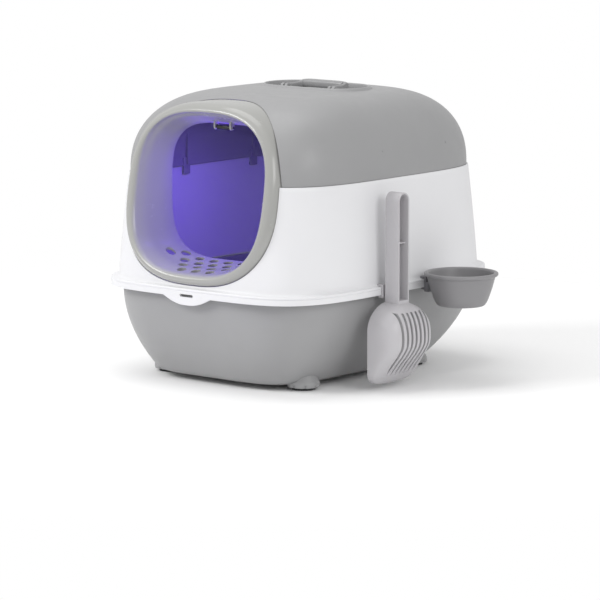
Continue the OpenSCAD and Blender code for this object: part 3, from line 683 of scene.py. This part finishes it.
def slot_cutter(y):
    """A slot's cutter: a flat shape drawn in (x, z) and given the slot's width along Y."""
    sides = [np.column_stack([slot_side[:, 0], np.full(7, q), slot_side[:, 1]])
             for q in (y - 2.3, y + 2.3)]
    return grid(np.array(sides), poles=True)


blade_slots = [slot_cutter(scoop_y + (i - 3) * 9.6) for i in range(7)]
piece("scoop_blade", [grid(blade_rows(), poles=True)], scoop_pp, "scoop", ["scoop"], "scoop_pp",
      cutters=[blade_slots], crease=36)


def channel_rows():
    """Handle of the scoop: an upright outline, round at the top, in rows from the middle of its
    back out round the edge, forward along its side, over the lip and down into the channel."""
    rows = [(8, 0), (0.8, 0), (0.2, 0.2), (0, 0.8), (0, 12.0), (0, 23.2), (0.25, 23.75), (0.8, 24.0),
            (1.7, 24.0), (2.25, 23.75), (2.5, 23.2), (2.6, 12.0), (2.9, 4.0), (3.4, 2.9), (4.4, 2.5),
            (8, 2.5)]
    made = []
    low = 116.0
    for inset, depth in rows:
        r = handle_wide / 2 - inset
        bottom = low + (6.5 if inset >= 2.2 else 0) + inset
        t = np.linspace(0, np.pi, 41)
        y = np.concatenate([r * np.cos(t), np.full(24, -r), np.linspace(-r, r, 14)[1:-1],
                            np.full(24, r)])
        cap = scoop_top - handle_wide / 2
        z = np.concatenate([cap + r * np.sin(t), np.linspace(cap, bottom, 25)[1:],
                            np.full(12, bottom), np.linspace(bottom, cap, 25)[:-1]])
        made.append(np.column_stack([np.full(len(y), handle_back + depth), scoop_y + y, z]))
    return np.array(made)


rib = facing_x(slab(round_oblong(handle_wide - 3, 1.9, 0.8, 48), 0, 17.5, 0.5), handle_back + 1,
               scoop_y, 204.9)
peg_hole = facing_x(slab(round_oblong(8.6, 7.3, 0.6, 32), -3, 6, 0.1), handle_back, scoop_y, 141.05)
piece("scoop_handle", [grid(channel_rows(), poles=True)], scoop_pp, "scoop", [], "scoop_pp",
      cutters=[[grid(peg_hole, poles=True)]], crease=40)
piece("scoop_handle_rib", [grid(rib, poles=True)], scoop_pp, "scoop", [], "scoop_pp", crease=40)

# ---- Bowl -----------------------------------------------------------------------------------

bowl_low, bowl_high = span("bowl")
bowl_r = (bowl_high[1] - bowl_low[1]) / 2
bowl_x, bowl_y = bowl_high[0] - bowl_r, (bowl_low[1] + bowl_high[1]) / 2
bottom, brim = bowl_low[2], bowl_high[2]
bowl_profile = np.array([
    (8, bottom), (24, bottom), (30.5, bottom), (32.5, bottom + 0.4), (34.2, bottom + 1.6),
    (36.0, bottom + 4.2), (38.4, bottom + 9), (41.6, bottom + 18), (44.5, bottom + 27),
    (46.9, bottom + 36), (47.6, brim - 9), (47.9, brim - 7.2), (48.3, brim - 6.1), (49.4, brim - 5.5),
    (51.0, brim - 5.1), (52.1, brim - 4.0), (bowl_r, brim - 2.7), (52.2, brim - 1.2),
    (51.2, brim - 0.25), (50.0, brim), (48.2, brim), (47.1, brim - 0.5), (46.3, brim - 1.6),
    (45.7, brim - 3.4), (45.1, brim - 9), (42.2, bottom + 27), (39.2, bottom + 18),
    (36.4, bottom + 10.5), (33.4, bottom + 5.2), (29, bottom + 2.9), (24, bottom + 2.6),
    (8, bottom + 2.6)])
tongue_x = bowl_low[0]
tongue = facing_x(slab(round_oblong(17, 26, 2.0, 64), 0, 2.0, 0.4), tongue_x, bowl_y, 140.0)
bridge = facing_x(slab(round_oblong(17, 4, 1.2, 48), 0.2, 6.8, 0.3), tongue_x, bowl_y, brim - 7.2)
piece("bowl_moulding", [grid(lathe(bowl_profile, bowl_x, bowl_y, 160), poles=True),
                        grid(tongue, poles=True), grid(bridge, poles=True)],
      bowl_pp, "bowl", ["bowl"], "bowl_pp", crease=45)

# ---- CAD pieces that keep their shape -------------------------------------------------------

finishes = {
    "rubber_feet": pad_rubber, "lid_clips": grey_pp, "handle_pins": steel, "flap_pin": steel,
    "scoop_hook": scoop_pp, "bowl_clip": clip_pp, "lamp_case": lamp_abs, "lamp_lens": lens_acrylic,
    "lamp_board": board_mask, "lamp_leds": led_epoxy, "lamp_switch": clip_pp,
    "lamp_button": scoop_pp, "lamp_door": lamp_abs, "lamp_cells": cell_sleeve,
    "lamp_contacts": steel, "lamp_screws": steel}
for node, finish in finishes.items():
    shape = frame["nodes"][node]
    shape.data.materials.clear()
    shape.data.materials.append(finish)

# ---- Floor, light and camera ----------------------------------------------------------------

floor_mesh = bpy.data.meshes.new("floor")
floor_mesh.from_pydata([(-9, -9, -0.0002), (9, -9, -0.0002), (9, 9, -0.0002), (-9, 9, -0.0002)], [],
                       [(0, 1, 2, 3)])
floor = bpy.data.objects.new("floor", floor_mesh)
bpy.context.collection.objects.link(floor)
# Matt white card that thins out to nothing between 0.55 and 1.1 m from the middle, so that it
# carries the shadow and has no edge against the backdrop.
floor_card = bpy.data.materials.new("studio card, matt white")
floor_card.use_nodes = True
tree = floor_card.node_tree
paint = tree.nodes["Principled BSDF"]
paint.inputs["Base Color"].default_value = (0.97, 0.97, 0.97, 1)
paint.inputs["Roughness"].default_value = 0.9
paint.inputs["Specular IOR Level"].default_value = 0.1
spot = add(tree, "ShaderNodeTexCoord").outputs["Object"]
away = add(tree, "ShaderNodeVectorMath", operation="LENGTH", i0=spot)
thin = add(tree, "ShaderNodeMapRange", interpolation_type="SMOOTHSTEP", Value=away.outputs["Value"],
           From_Min=0.55, From_Max=1.1)
open_air = add(tree, "ShaderNodeBsdfTransparent")
card = add(tree, "ShaderNodeMixShader", i0=thin.outputs["Result"], i1=paint.outputs["BSDF"],
           i2=open_air.outputs["BSDF"])
tree.links.new(card.outputs["Shader"], tree.nodes["Material Output"].inputs["Surface"])
floor_mesh.materials.append(floor_card)

scene = bpy.context.scene
world = bpy.data.worlds.new("studio")
world.use_nodes = True
tree = world.node_tree
sky = tree.nodes["Background"]
sky.inputs["Color"].default_value, sky.inputs["Strength"].default_value = (1, 1, 1, 1), 0.72
backdrop = add(tree, "ShaderNodeBackground", Color=(1, 1, 1, 1), Strength=1.0)
direct = add(tree, "ShaderNodeLightPath")
both = add(tree, "ShaderNodeMixShader", i0=direct.outputs["Is Camera Ray"],
           i1=sky.outputs["Background"], i2=backdrop.outputs["Background"])
tree.links.new(both.outputs["Shader"], tree.nodes["World Output"].inputs["Surface"])
scene.world = world
scene.view_settings.view_transform = "Standard"


def softbox(name, place, aim, size, power, colour=(1, 1, 1), seen_in_gloss=True):
    """Square area light at place, facing aim."""
    lamp = bpy.data.lights.new(name, "AREA")
    lamp.shape, lamp.size, lamp.energy, lamp.color = "SQUARE", size, power, colour
    made = bpy.data.objects.new(name, lamp)
    bpy.context.collection.objects.link(made)
    made.location = Vector(place)
    made.visible_glossy, made.visible_camera = seen_in_gloss, False
    made.rotation_euler = (Vector(aim) - Vector(place)).to_track_quat("-Z", "Y").to_euler()
    return made


softbox("key", (-1.6, -2.4, 2.0), (0, 0, 0.2), 1.2, 46)
softbox("side", (2.6, -0.6, 1.3), (0, 0, 0.2), 1.2, 16)
softbox("top", (-0.6, 0.0, 3.0), (0, 0, 0.3), 2.0, 21)

lens_low, lens_high = span("lamp_lens")
glow_y = (lens_low[1] + lens_high[1]) / 2000
glow = softbox("lamp_glow", (0.0, glow_y, lens_low[2] / 1000 - 0.006), (0.0, glow_y - 0.02, 0.1),
               0.05, 0.66, (0.17, 0.075, 1.0), seen_in_gloss=False)
# Light that the lamp scatters forward onto the ring's ceiling and sides.
spill = softbox("lamp_spill", (0.0, -0.146, 0.342), (0.0, -0.2, 0.4), 0.04, 0.1,
                (0.2, 0.1, 1.0), seen_in_gloss=False)
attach(glow, "hood")
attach(spill, "hood")

azimuth, elevation = math.radians(39.3), math.radians(7.8)
back = Vector((math.sin(azimuth) * math.cos(elevation), -math.cos(azimuth) * math.cos(elevation),
               math.sin(elevation)))
lens = bpy.data.cameras.new("camera")
lens.sensor_width, lens.lens = 36.0, 220.32
lens.shift_y = -0.105
camera = bpy.data.objects.new("camera", lens)
bpy.context.collection.objects.link(camera)
camera.location = Vector((0, 0, 0.18816)) + back * 5.288
camera.rotation_euler = (-back).to_track_quat("-Z", "Y").to_euler()
lens.clip_start, lens.clip_end = 0.05, 100
scene.camera = camera
